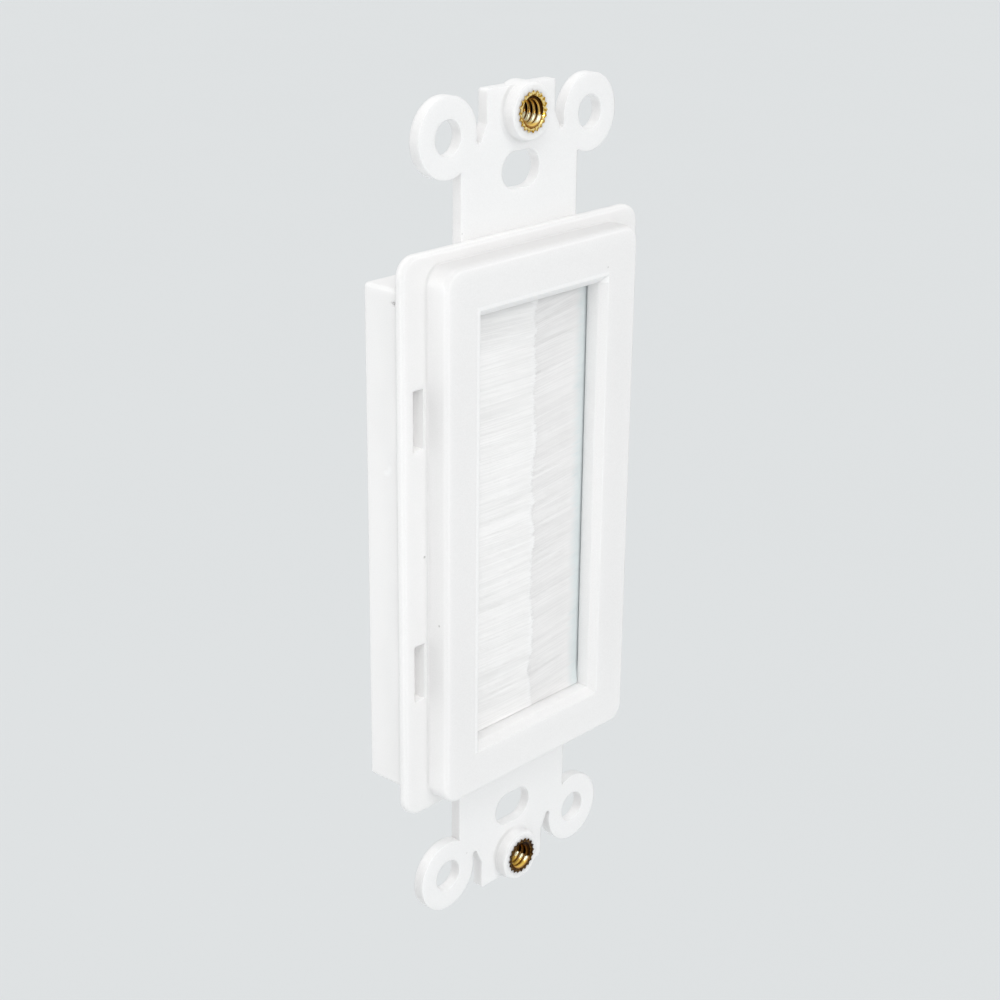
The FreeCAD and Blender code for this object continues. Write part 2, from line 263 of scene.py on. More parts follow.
# %% [markdown]
# ## White moulded plastic
#
# The frame and the retainer are injection moulded in one white thermoplastic. Such a surface is
# satin, never dead flat: the mould leaves a fine even grain, the gloss wanders a little, and the
# colour is a shade warmer in one place than in another. Moulded edges are a hair round as well.
#
# An image could carry all that, but it would have to be painted and wrapped round the piece. Here
# nodes make it from each point's place on the object, so it fits any shape and any distance.
# Noise drives the colour and the roughness, a finer noise drives the bump, and the Bevel node
# rounds the sharp edges of the CAD mesh for the light only. White plastic also lets light soak in
# a little, which softens small shadows: that is the subsurface part of the shader.

# %% Helpers for texture and colour
def noise(tree, vector, size_mm, detail=2.0):
    """Noise with blobs of about the given size."""
    inputs = {"Vector": vector, "Scale": 1.0 / (size_mm * MM), "Detail": detail}
    return node(tree, "ShaderNodeTexNoise", inputs).outputs[0]


def between(tree, value, low, high):
    """Stretch a 0 to 1 value over another range."""
    return node(tree, "ShaderNodeMapRange", {"Value": value, "To Min": low, "To Max": high}).outputs[0]


def blend_colour(tree, share, base, top):
    """Mix two colours, or the sockets that give them, by a share from 0 to 1."""
    mix = node(tree, "ShaderNodeMix", {"Factor": share}, data_type="RGBA")
    for socket, value in ((mix.inputs[6], base), (mix.inputs[7], top)):
        if isinstance(value, bpy.types.NodeSocket):
            tree.links.new(value, socket)
        else:
            socket.default_value = opaque(value)
    return mix.outputs[2]


def skin(tree, out, inputs):
    """Principled shader with the given inputs, as the material's surface."""
    shader = node(tree, "ShaderNodeBsdfPrincipled", inputs)
    tree.links.new(shader.outputs[0], out.inputs["Surface"])


# %% [markdown]
# ### Masks
#
# One moulding shows several finishes, and where each begins is a matter of place: so far from the
# middle, so far to the front, turned so much upward. Such a rule makes a mask, a value that is 1
# in its zone and 0 elsewhere. Masks are multiplied where all of several rules must hold, and the
# largest is taken where one of them is enough. A short ramp from 0 to 1 keeps the edge of a zone
# from looking cut.

# %% Helpers that turn places and directions into masks
def calc(tree, operation, first, second=0.0, third=0.0):
    """One sum on values or sockets."""
    return node(tree, "ShaderNodeMath", {0: first, 1: second, 2: third}, operation=operation).outputs[0]


def step_up(tree, value, low, high, result=1.0):
    """0 at low, result at high, an even ramp between, and flat beyond; low may be the larger."""
    inputs = {"Value": value, "From Min": low, "From Max": high, "To Max": result}
    return node(tree, "ShaderNodeMapRange", inputs).outputs[0]


def ramp(tree, length, low_mm, high_mm, result=1.0):
    """The same for a length, with its ends in millimetres."""
    return step_up(tree, length, low_mm * MM, high_mm * MM, result)


def edge_ramp(tree, length, edge_mm, offsets_mm):
    """0 at the first offset from an edge and 1 at the second."""
    start, stop = offsets_mm
    return ramp(tree, length, edge_mm + start, edge_mm + stop)


def rest_of(tree, mask):
    """1 where the mask is 0, and 0 where it is 1."""
    return calc(tree, "SUBTRACT", 1.0, mask)


def where_all(tree, first, *others):
    """1 only where every mask is 1."""
    for other in others:
        first = calc(tree, "MULTIPLY", first, other)
    return first


def where_any(tree, first, *others):
    """1 where any mask is 1."""
    for other in others:
        first = calc(tree, "MAXIMUM", first, other)
    return first


def past(tree, length, limit_mm):
    """How far a length goes past a limit; negative short of it."""
    return calc(tree, "SUBTRACT", length, limit_mm * MM)


def under(tree, length, limit_mm):
    """1 where a length is under a limit."""
    return calc(tree, "LESS_THAN", length, limit_mm * MM)


def over(tree, length, limit_mm):
    """1 where a length is over a limit."""
    return calc(tree, "GREATER_THAN", length, limit_mm * MM)


def unsigned(tree, value):
    """The value without its sign, so that both sides of the middle count alike."""
    return calc(tree, "ABSOLUTE", value)


def flipped(tree, value):
    """The value with its sign changed."""
    return calc(tree, "MULTIPLY", value, -1.0)


def axes_of(tree, vector):
    """X, Y and Z of a place or a direction."""
    return node(tree, "ShaderNodeSeparateXYZ", {0: vector}).outputs


# %% [markdown]
# ### Finishes of the moulding
#
# The front and the outer walls of the bezel have a matt mould texture and look a shade greyer than the
# flange and strap. Beyond that, light and shade are painted into the colour by where a face lies and how it
# turns. The bevels and walls in the opening are painted lighter. The bezel's outer walls are painted darker
# and its upper wall is the greyest. Its front is painted lighter towards its ends, and faces turned forward
# are painted a little darker. The strap is a little lighter, and its thin sides are painted greyer as shade,
# the more so at the lower end. Round corners that face up, left and forward at once catch the lamps most, so
# they are painted darker as well.
#
# Three places are painted lighter as painted light: the thin walls inside the flange's windows, the bevel
# above the opening, and a narrow rim along the opening's left and upper edge, which is a painted highlight.

# %% Sizes of the moulding in mm, where its finish changes
BEZEL_FRONT = extent["front_frame"]["Y"][0]
FLANGE_FRONT, STRAP_FRONT = -2.50, -1.40
BEZEL_HALF_HEIGHT = 33.35
OPENING_HALF_WIDTH, OPENING_HALF_HEIGHT = 10.40, 27.00
BEVEL = 0.85
FACE_FROM_X = OPENING_HALF_WIDTH + BEVEL
FACE_FROM_Z = OPENING_HALF_HEIGHT + BEVEL
RIM_WIDTH = 0.45
WINDOW_X, WINDOW_Z = 17.98, 15.80
WINDOW_HALF_WIDTH, WINDOW_HALF_HEIGHT = 0.90, 3.65
print(f"bezel {FLANGE_FRONT - BEZEL_FRONT:.2f} mm proud, bevel {BEVEL} mm wide, rim {RIM_WIDTH} mm")

# %% Masks for the zones of the moulding, and how softly each ends, in mm
RISE, FALL = (-0.10, 0.10), (0.10, -0.10)
FACE_EDGE = (-0.04, 0.04)
BEZEL_FOOT = (-0.35, -0.15)
BEZEL_END = (0.25, 0.65)
WINDOW_MOUTH = (0.02, 0.20)
BEVEL_EDGES = (1.0, 0.2)
RIM_START = (-0.10, -0.02)
RIM_BEHIND = 0.20
SLACK = 0.05


def bezel_zones(tree, at):
    """Two masks: 1 on the bezel's matt front and outer walls; and 1 everywhere but in the opening."""
    from_middle = unsigned(tree, at["Z"])
    beside = past(tree, unsigned(tree, at["X"]), FACE_FROM_X)
    beyond = past(tree, from_middle, FACE_FROM_Z)
    outside = ramp(tree, calc(tree, "MAXIMUM", beside, beyond), *FACE_EDGE)
    flange = edge_ramp(tree, at["Y"], FLANGE_FRONT, BEZEL_FOOT)
    strap = edge_ramp(tree, from_middle, BEZEL_HALF_HEIGHT, BEZEL_END)
    return where_all(tree, outside, rest_of(tree, where_any(tree, flange, strap))), outside


def inside_windows(tree, at):
    """1 inside the flange's four windows, whose thin walls are painted lighter as painted light."""
    across = unsigned(tree, past(tree, unsigned(tree, at["X"]), WINDOW_X))
    along = unsigned(tree, past(tree, unsigned(tree, at["Z"]), WINDOW_Z))
    narrow = under(tree, across, WINDOW_HALF_WIDTH)
    short = under(tree, along, WINDOW_HALF_HEIGHT)
    behind = edge_ramp(tree, at["Y"], FLANGE_FRONT, WINDOW_MOUTH)
    return where_all(tree, narrow, short, behind)


def upper_bevel(tree, at):
    """Rises from 0 to 1 across the bevel above the opening, from its rear edge to its front edge."""
    above = over(tree, at["Z"], OPENING_HALF_HEIGHT - SLACK)
    below = under(tree, at["Z"], FACE_FROM_Z + SLACK)
    between_sides = under(tree, unsigned(tree, at["X"]), FACE_FROM_X + SLACK)
    forward = edge_ramp(tree, at["Y"], BEZEL_FRONT, BEVEL_EDGES)
    return where_all(tree, above, below, forward, between_sides)


def rim_painted_highlight(tree, at):
    """1 on the bezel's front, on a narrow rim along the left and the upper edge of the opening, painted
    lighter as a highlight.
    """
    leftward = flipped(tree, at["X"])
    downward = flipped(tree, at["Z"])
    nearest = calc(tree, "MAXIMUM", past(tree, leftward, FACE_FROM_X), past(tree, at["Z"], FACE_FROM_Z))
    starts = ramp(tree, nearest, *RIM_START)
    stops = edge_ramp(tree, nearest, RIM_WIDTH, FALL)
    short_right = under(tree, at["X"], FACE_FROM_X)
    short_below = under(tree, downward, FACE_FROM_Z)
    in_front = under(tree, at["Y"], BEZEL_FRONT + RIM_BEHIND)
    return where_all(tree, starts, stops, short_right, short_below, in_front)


# %% Shades of white, each for one zone, and the brown of dirt
WHITES = {
    "satin": (0.886, 0.881, 0.878),
    "warm satin": (0.905, 0.898, 0.892),
    "satin front painted shade": (0.868, 0.863, 0.860),
    "in the opening": (0.902, 0.897, 0.894),
    "strap": (0.935, 0.930, 0.926),
    "upper strap side painted shade": (0.845, 0.840, 0.837),
    "lower strap side painted shade": (0.775, 0.770, 0.767),
    "matt wall painted shade": (0.822, 0.817, 0.815),
    "matt front": (0.868, 0.862, 0.860),
    "matt end painted light": (0.908, 0.902, 0.899),
    "matt top painted shade": (0.740, 0.736, 0.733),
    "round corner painted shade": (0.740, 0.736, 0.734),
    "painted light place": (0.985, 0.980, 0.976),
    "painted edge highlight": (0.940, 0.940, 0.938),
    "nick": (0.985, 0.985, 0.980),
    "dirt": (0.18, 0.17, 0.15),
}
print(len(WHITES), "shades for the moulding")


def tint(tree, share, colour, shade):
    """Lay one of the named shades over a colour."""
    return blend_colour(tree, share, colour, WHITES[shade])


# %% The colour of each zone: where it starts and is full, in mm or as a part of the normal
MATT_SHARE, FRONT_SHARE = 0.92, 0.7
BEZEL_MIDDLE_TO_END = (18.0, 32.0)
STRAP_START = (34.0, 37.0)
STRAP_TOP_TO_BOTTOM = (40.0, -40.0)
UP_LEFT_FRONT = (-0.577, -0.577, 0.577)
WAYS = {"a little forward": (0.2, 0.6), "forward": (0.78, 0.98), "upward": (0.2, 0.9),
        "sideways": (0.70, 0.95), "up, left and forward": (0.74, 1.0)}


def looks(tree, part, way):
    """1 where a face looks fully one way; part is how much of its normal points there."""
    return step_up(tree, part, *WAYS[way])


def bezel_colour(tree, at, forward, facing):
    """Matt walls painted darker than the front as shade, a front painted lighter towards its ends, and an
    upper wall painted greyest as shade.
    """
    # The walls are painted darker than the front: painted shade.
    colour = tint(tree, looks(tree, forward, "forward"), WHITES["matt wall painted shade"], "matt front")
    # The front is painted lighter towards its upper and lower ends: painted light.
    towards_end = ramp(tree, unsigned(tree, at["Z"]), *BEZEL_MIDDLE_TO_END)
    colour = tint(tree, towards_end, colour, "matt end painted light")
    # Upward faces are painted darker still: painted shade.
    return tint(tree, looks(tree, facing["Z"], "upward"), colour, "matt top painted shade")


def strap_colour(tree, at, facing, colour):
    """A lighter strap, whose thin sides are painted greyer as shade, the more so at the lower end."""
    strap = ramp(tree, unsigned(tree, at["Z"]), *STRAP_START)
    colour = tint(tree, strap, colour, "strap")
    # The strap's sides are painted greyer here, more so lower down: painted shade.
    downward = ramp(tree, at["Z"], *STRAP_TOP_TO_BOTTOM)
    side = tint(tree, downward, WHITES["upper strap side painted shade"], "lower strap side painted shade")
    sideways = looks(tree, unsigned(tree, facing["X"]), "sideways")
    return blend_colour(tree, where_all(tree, sideways, strap), colour, side)


def zone_colour(tree, at, normal, colour, matt, outside):
    """The satin colour, changed zone by zone, with light and shade painted in by where each face lies and
    turns.
    """
    facing = axes_of(tree, normal)
    forward = flipped(tree, facing["Y"])
    # Faces turned forward are painted a little darker: a painted shade that tones down lamp highlights.
    satin_front = calc(tree, "MULTIPLY", looks(tree, forward, "a little forward"), FRONT_SHARE)
    colour = tint(tree, satin_front, colour, "satin front painted shade")
    colour = strap_colour(tree, at, facing, colour)
    # Inside the opening the bevels and walls are painted a shade lighter: painted light.
    colour = blend_colour(tree, outside, WHITES["in the opening"], colour)
    matt = calc(tree, "MULTIPLY", matt, MATT_SHARE)
    colour = blend_colour(tree, matt, colour, bezel_colour(tree, at, forward, facing))
    # Round corners facing up, left and forward are painted darker: a painted shade over the lamps'
    # highlight.
    dot = node(tree, "ShaderNodeVectorMath", {0: normal, 1: UP_LEFT_FRONT}, operation="DOT_PRODUCT")
    corner = looks(tree, dot.outputs["Value"], "up, left and forward")
    return tint(tree, corner, colour, "round corner painted shade")


# %% [markdown]
# ### Marks and painted edge highlights
#
# The real piece has a few specks of dirt and a small crescent nick in its skirt. They are part of the same
# material: each is a soft spot round a point, at its real place and size. The crescent is one spot less
# another that is moved a little; the bump dents it, and it is painted lighter as its highlight. Edges are
# painted lighter as a highlight: where the rounded normal departs from the true one there is an edge, so
# that difference lightens them.

# %% Specks and the nick: places and radii in mm, and how dark each speck is
SPECKS = [((-17.09, FLANGE_FRONT, -1.15), 0.17, 0.45), ((-16.32, FLANGE_FRONT, -9.41), 0.15, 0.40),
          ((-16.65, -4.45, -9.51), 0.15, 0.40), ((-9.75, STRAP_FRONT, 35.70), 0.13, 0.20),
          ((11.05, BEZEL_FRONT, 28.88), 0.12, 0.35), ((-8.56, STRAP_FRONT, -44.99), 0.12, 0.20)]
SKIRT_LEFT = -19.8
NICK_AT = (SKIRT_LEFT, 0.82, 9.61)
NICK_MOVED = (SKIRT_LEFT, 1.17, 9.91)
NICK_RADIUS = 0.75
SPOT_OUTER, SPOT_INNER = 1.25, 0.55
EDGE_BEND = (0.005, 0.08)
EDGE_LIGHTER = 0.30


def spot(tree, vector, centre_mm, radius_mm):
    """1 inside a small ball round a point and 0 outside, with a soft rim."""
    ends = {0: vector, 1: [c * MM for c in centre_mm]}
    away = node(tree, "ShaderNodeVectorMath", ends, operation="DISTANCE").outputs["Value"]
    return ramp(tree, away, SPOT_OUTER * radius_mm, SPOT_INNER * radius_mm)


def crescent(tree, place):
    """1 in the crescent nick and 0 elsewhere."""
    balls = {0: spot(tree, place, NICK_AT, NICK_RADIUS), 1: spot(tree, place, NICK_MOVED, NICK_RADIUS)}
    return node(tree, "ShaderNodeMath", balls, operation="SUBTRACT", use_clamp=True).outputs[0]


def marked(tree, place, normal, rounded, colour, nick):
    """The colour with its specks, painted edge highlights, and the nick painted lighter as a highlight."""
    for centre, radius, dark in SPECKS:
        speck = calc(tree, "MULTIPLY", spot(tree, place, centre, radius), dark)
        colour = tint(tree, speck, colour, "dirt")
    likeness = node(tree, "ShaderNodeVectorMath", {0: normal, 1: rounded}, operation="DOT_PRODUCT")
    bend = rest_of(tree, likeness.outputs["Value"])
    # Edges are painted lighter here: a painted highlight.
    colour = tint(tree, step_up(tree, bend, *EDGE_BEND, EDGE_LIGHTER), colour, "painted edge highlight")
    # The nick is painted lighter here as a painted highlight; the bump below dents it.
    return tint(tree, nick, colour, "nick")


# %% The white plastic itself: sizes in mm
CLOUD_SIZE = 9.0
GLOSS_SIZE = 3.0
GLOSS_RANGE = (0.34, 0.44)
MATT_ROUGHER = 0.08
GRAIN_SIZE, GRAIN_DETAIL = 0.12, 3.0
GRAIN_HEIGHT, GRAIN_STRENGTH = 0.010, 0.35
GRAIN_DARKEST, GRAIN_SWING = 0.93, 0.14
NICK_DEPTH = 6.0
EDGE_RADIUS, EDGE_SAMPLES = 0.13, 8
SOAK, SOAK_DEPTH = 0.85, 0.9
SOAK_EVEN = (1.0, 1.0, 1.0)
PLASTIC_IOR = 1.49


def white_plastic(name, marks):
    """Satin white moulding, with or without the finishes and marks of the front frame."""
    material, tree, out = new_material(name)
    place = node(tree, "ShaderNodeTexCoord").outputs["Object"]
    colour = tint(tree, noise(tree, place, CLOUD_SIZE), WHITES["satin"], "warm satin")
    rough = between(tree, noise(tree, place, GLOSS_SIZE), *GLOSS_RANGE)
    grain = noise(tree, place, GRAIN_SIZE, GRAIN_DETAIL)
    rounded = node(tree, "ShaderNodeBevel", {"Radius": EDGE_RADIUS * MM}, samples=EDGE_SAMPLES).outputs[0]
    height = grain
    soak = SOAK
    if marks:
        at = axes_of(tree, place)
        normal = node(tree, "ShaderNodeNewGeometry").outputs["Normal"]
        matt, outside = bezel_zones(tree, at)
        colour = zone_colour(tree, at, normal, colour, matt, outside)
        rough = calc(tree, "MULTIPLY_ADD", matt, MATT_ROUGHER, rough)
        windows = inside_windows(tree, at)
        # The windows, the upper bevel and the rim are painted lighter: painted light, and a painted
        # highlight on the rim.
        painted_light_place = where_any(tree, windows, upper_bevel(tree, at), rim_painted_highlight(tree, at))
        colour = tint(tree, painted_light_place, colour, "painted light place")
        soak = calc(tree, "MULTIPLY_ADD", windows, -SOAK, SOAK)
        nick = crescent(tree, place)
        colour = marked(tree, place, normal, rounded, colour, nick)
        height = calc(tree, "MULTIPLY_ADD", nick, -NICK_DEPTH, grain)
    shade = calc(tree, "MULTIPLY_ADD", grain, GRAIN_SWING, GRAIN_DARKEST)
    colour = node(tree, "ShaderNodeVectorMath", {0: colour, 1: shade}, operation="MULTIPLY").outputs[0]
    bump = node(tree, "ShaderNodeBump", {"Strength": GRAIN_STRENGTH, "Distance": GRAIN_HEIGHT * MM,
                                         "Height": height, "Normal": rounded}).outputs[0]
    skin(tree, out, {"Base Color": colour, "Roughness": rough, "Normal": bump, "IOR": PLASTIC_IOR,
                     "Subsurface Weight": soak, "Subsurface Scale": SOAK_DEPTH * MM,
                     "Subsurface Radius": SOAK_EVEN})
    return material


def dress(material, *names):
    """Give CAD nodes a material."""
    for name in names:
        slots = nodes[name].material_slots
        for slot in slots:
            slot.material = material
        if not len(slots):
            nodes[name].data.materials.append(material)


dress(white_plastic("white_moulding", True), "front_frame")
dress(white_plastic("white_moulding_rear", False), "rear_retainer")
print("white plastic on the frame and the retainer,", len(SPECKS), "specks and one nick")

# %% [markdown]
# ## Aluminium and steel
#
# The brush strips are held by crimped aluminium channels and a drawn steel wire, which hardly
# show. A metal's colour is the colour of its reflection, and what makes it real is how the
# roughness wanders. Rolling, drawing and turning leave fine lines one way, so the noise is
# squeezed along one axis.

# %% Metal with tool marks: sizes in mm
STREAK_LENGTH, STREAK_WIDTH = 0.35, 0.05
STREAK_STRENGTH, STREAK_HEIGHT = 0.3, 0.01
STREAK_DETAIL = 2.0
TARNISH_SIZE = 1.2
X_AXIS, Y_AXIS, Z_AXIS = 0, 1, 2
ALUMINIUM = {"bright": (0.80, 0.81, 0.82), "dull": (0.70, 0.71, 0.73),
             "rough": (0.30, 0.48), "narrow": X_AXIS}
STEEL = {"bright": (0.62, 0.62, 0.62), "dull": (0.50, 0.50, 0.51),
         "rough": (0.25, 0.40), "narrow": Z_AXIS}


def tool_marks(tree, place, rough, narrow):
    """Roughness and bumped normal with streaks; narrow is the axis along which a streak is thin."""
    squeeze = [1.0 / (STREAK_LENGTH * MM)] * 3
    squeeze[narrow] = 1.0 / (STREAK_WIDTH * MM)
    squeezed = node(tree, "ShaderNodeVectorMath", {0: place, 1: squeeze}, operation="MULTIPLY").outputs[0]
    texture = {"Vector": squeezed, "Scale": 1.0, "Detail": STREAK_DETAIL}
    streaks = node(tree, "ShaderNodeTexNoise", texture).outputs[0]
    bump = node(tree, "ShaderNodeBump", {"Strength": STREAK_STRENGTH, "Distance": STREAK_HEIGHT * MM,
                                         "Height": streaks}).outputs[0]
    return between(tree, streaks, *rough), bump


def strip_metal(name, bright, dull, rough, narrow):
    """Metal of the brush strips, with tool marks and a little tarnish."""
    material, tree, out = new_material(name)
    place = node(tree, "ShaderNodeTexCoord").outputs["Object"]
    rough, bump = tool_marks(tree, place, rough, narrow)
    colour = blend_colour(tree, noise(tree, place, TARNISH_SIZE), bright, dull)
    skin(tree, out, {"Base Color": colour, "Metallic": 1.0, "Roughness": rough, "Normal": bump})
    return material


dress(strip_metal("rolled_aluminium", **ALUMINIUM), "brush_channel_left", "brush_channel_right")
dress(strip_metal("drawn_steel", **STEEL), "core_wire_left", "core_wire_right")
print("aluminium on two channels, steel on two wires")

# %% [markdown]
# ## Brass
#
# The screw inserts are turned brass, with the fine rings of the tool, and with dull chips on the ring that
# faces the room. Inside the bore the colour is painted by height above the bore's axis. Above, the grooves
# are painted dark brown as shade and the crests lighter as highlights. Low in the bore the brass is painted
# bright gold, a painted reflection of the light, and its crests and flanks have a painted glint along the
# upper edge of that part. The lower insert is coloured much darker than the upper one, so both are one
# recipe with their own colours.

# %% The two inserts: sizes in mm, heights above the bore's axis
INSERT_HEIGHT = round(sum(extent["screw_insert_upper"]["Z"]) / 2, 2)
BORE_RADIUS = 1.75
BORE_EDGE = (0.07, 0.01)
ON_CREST, ON_FLANK = (1.50, 1.42), (1.66, 1.56)
CHIP_SIZE, CHIP_DETAIL = 0.26, 1.0
CHIP_EDGE = (0.46, 0.56)
TURNED_ROUGH = (0.12, 0.28)
SHADED_GOLD = (0.42, 0.20, 0.03)
GLINT_GOLD = (1.0, 0.98, 0.70)
LESS_METAL, LESS_ROUGH = -0.60, -0.55
UPPER_INSERT_COLOURS = {"ring": (0.98, 0.78, 0.34), "dull": (0.56, 0.30, 0.02), "crest": (0.78, 0.50, 0.14),
         "groove": (0.060, 0.020, 0.002), "bright": (0.92, 0.62, 0.14), "bright_below": -0.55, "glint": 0.75}
# The lower insert's colours are much darker than the upper one's.
LOWER_INSERT_COLOURS = {"ring": (0.15, 0.075, 0.015), "dull": (0.04, 0.014, 0.002), "crest": (0.16, 0.07, 0.012),
        "groove": (0.030, 0.010, 0.001), "bright": (0.86, 0.56, 0.10), "bright_below": -0.75, "glint": 0.38}


def insert_brass(name, ring, dull, crest, groove, bright, bright_below, glint):
    """Brass of one screw insert: chipped ring, and a bore painted dark above as shade and bright below as
    reflected light.
    """
    material, tree, out = new_material(name)
    place = node(tree, "ShaderNodeTexCoord").outputs["Object"]
    at = axes_of(tree, place)
    away = past(tree, unsigned(tree, at["Z"]), INSERT_HEIGHT)
    above = calc(tree, "MULTIPLY", away, calc(tree, "SIGN", at["Z"]))
    squares = calc(tree, "MULTIPLY_ADD", at["X"], at["X"], calc(tree, "MULTIPLY", away, away))
    radius = calc(tree, "SQRT", squares)
    in_bore = edge_ramp(tree, radius, BORE_RADIUS, BORE_EDGE)
    on_flank = ramp(tree, radius, *ON_FLANK)
    low = edge_ramp(tree, above, bright_below, FALL)
    high = edge_ramp(tree, above, bright_below - glint, RISE)
    # Low in the bore: gold painted as a reflection of the light, with a painted glint.
    gold = blend_colour(tree, on_flank, SHADED_GOLD, bright)
    gold = blend_colour(tree, where_all(tree, high, on_flank), gold, GLINT_GOLD)
    # Higher in the bore: grooves painted dark as shade, crests painted lighter as highlights.
    brown = blend_colour(tree, ramp(tree, radius, *ON_CREST), groove, crest)
    unchipped = step_up(tree, noise(tree, place, CHIP_SIZE, CHIP_DETAIL), *CHIP_EDGE)
    outside = blend_colour(tree, unchipped, dull, ring)
    colour = blend_colour(tree, in_bore, outside, blend_colour(tree, low, brown, gold))
    lit = where_all(tree, in_bore, low)
    rough, bump = tool_marks(tree, place, TURNED_ROUGH, Y_AXIS)
    rough = calc(tree, "MULTIPLY", rough, calc(tree, "MULTIPLY_ADD", lit, LESS_ROUGH, 1.0))
    metallic = calc(tree, "MULTIPLY_ADD", lit, LESS_METAL, 1.0)
    skin(tree, out, {"Base Color": colour, "Metallic": metallic, "Roughness": rough, "Normal": bump})
    return material


brass = {"upper": insert_brass("turned_brass_upper", **UPPER_INSERT_COLOURS),
         "lower": insert_brass("turned_brass_lower", **LOWER_INSERT_COLOURS)}
for end, metal in brass.items():
    dress(metal, f"screw_insert_{end}")
print("brass on", len(brass), "inserts, whose axes are", INSERT_HEIGHT, "mm above and below the middle")

# %% [markdown]
# ## The screw threads
#
# The CAD bore is a plain hole as wide as the screw's thread. On the real insert the thread stands
# out from that wall as a spiral ridge. A Screw modifier could sweep one, but it can't let the ends
# run out. So the mesh is written as a grid: one way goes round the spiral, the other goes round
# the ridge's outline, a triangle with bulging flanks and a blunt tip. Each end of the ridge
# tapers into the wall, as a tapped thread does.

# %% A helper that closes rows of points into one skin
def closed_skin(rows, count):
    """Faces round a stack of rings of points, with a face at each end.

    They look outward where the rings turn anticlockwise, seen from the first towards the last.
    """
    faces = [list(range(count)), list(range((rows - 1) * count, rows * count))[::-1]]
    for i in range(rows - 1):
        for j in range(count):
            k = (j + 1) % count
            faces.append([i * count + j, (i + 1) * count + j, (i + 1) * count + k, i * count + k])
    return faces


# %% One spiral ridge per insert: sizes in mm, outline in shares of the pitch
CREST_RADIUS = 1.36
INCH = 25.4
THREADS_PER_INCH = 32
PITCH = INCH / THREADS_PER_INCH
THREAD_FRONT, THREAD_REAR = -3.06, -0.20
RIDGE_FOREMOST, RIDGE_HINDMOST = -3.20, -0.11
START = math.radians(200)
RINGS_PER_TURN = 48
RINGS_TO_GROW, RINGS_TO_SINK = 8, 4
FOOT, FLANK, TIP = 0.46, 0.28, 0.06
LEAST_FOOT = 0.15
SUNK = 0.03


def ridge_outline(grown):
    """Radius and offset along the axis of the ridge's six corners; grown 0 sinks it into the wall."""
    crest = BORE_RADIUS - (BORE_RADIUS - CREST_RADIUS) * grown
    middle = 0.5 * (crest + BORE_RADIUS)
    foot = FOOT * PITCH * max(grown, LEAST_FOOT)
    half = [(BORE_RADIUS + SUNK, foot), (middle, FLANK * PITCH), (crest, TIP * PITCH)]
    return [(r, -offset) for r, offset in half] + half[::-1]


def thread_ridge(name, z_mm, metal):
    """Spiral ridge inside a bore that runs along Y."""
    turns = (THREAD_REAR - THREAD_FRONT) / PITCH
    steps = int(turns * RINGS_PER_TURN)
    points = []
    for i in range(steps + 1):
        angle = START + 2 * math.pi * turns * i / steps
        y = THREAD_FRONT + (THREAD_REAR - THREAD_FRONT) * i / steps
        grown = min(1.0, i / RINGS_TO_GROW, (steps - i) / RINGS_TO_SINK)
        for r, offset in ridge_outline(grown):
            along = min(max(y + offset, RIDGE_FOREMOST), RIDGE_HINDMOST)
            point = (r * math.cos(angle), along, z_mm + r * math.sin(angle))
            points.append([c * MM for c in point])
    faces = closed_skin(steps + 1, len(points) // (steps + 1))
    ridge = body(name, points, faces, metal)
    ridge.data.shade_smooth()
    ridge.data.update()
    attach(ridge, "root")
    return ridge


ridges = [thread_ridge("screw_thread_upper", INSERT_HEIGHT, brass["upper"]),
          thread_ridge("screw_thread_lower", -INSERT_HEIGHT, brass["lower"])]
print("threads:", [len(r.data.polygons) for r in ridges], "faces each")

# %% [markdown]
# ## The bristles
#
# A strip brush is thousands of nylon filaments folded over a wire and crimped into a channel.
# Hair particles would be quick, but they aren't real geometry, so each filament here is a thin
# tube along a path. The path starts in the channel, spreads out once it is clear of the lip,
# droops a little towards its tip, and wanders as nylon does. Filaments that sit close together
# lean together, because tufts are gathered when the strip is made: smooth random curves along the
# strip give each tuft its own lean, length and fullness.
#
# The left strip's tips lie in front of the right strip's, a little past the middle.

# %% The length of the strips, and smooth random curves along it
END_GAP = 0.10
PACK_HIGH = round(extent["bristles_left"]["Z"][1] - END_GAP, 2)
PACK_LOW = -PACK_HIGH
SAMPLES = 1500
LAID = np.linspace(PACK_LOW, PACK_HIGH, SAMPLES)
CURVE_LENGTH, CURVE_START = 70, -33.0
SPARE_KNOTS = 3
TUFT, LONG_WAVE, FINE = 1.7, 4.5, 0.45
CURVE_SEEDS = {"left": 39, "right": 41}


def wander(rng, z, spacing_mm):
    """Random values, one for about every spacing_mm along z, joined smoothly; -1 to 1."""
    knots = rng.uniform(-1.0, 1.0, int(CURVE_LENGTH / spacing_mm) + SPARE_KNOTS)
    at = (z - CURVE_START) / spacing_mm
    i = np.floor(at).astype(int)
    f = at - i
    f = f * f * (3 - 2 * f)
    return knots[i] * (1 - f) + knots[i + 1] * f


WAVES = {}
for hand, seed in CURVE_SEEDS.items():
    rng = np.random.default_rng(seed)
    WAVES[hand] = [wander(rng, LAID, spacing) for spacing in (TUFT, LONG_WAVE, FINE)]
print(f"strips from {PACK_LOW} to {PACK_HIGH} mm, each with {len(WAVES['left'])} random curves")

# %% [markdown]
# Each path goes through six stations, from inside the channel to the tip. A table gives the depth
# of the strip's front and back at each station, and one rule lays any filament between them. The
# lowest filaments are pressed forward against the lip, and the highest droop most.

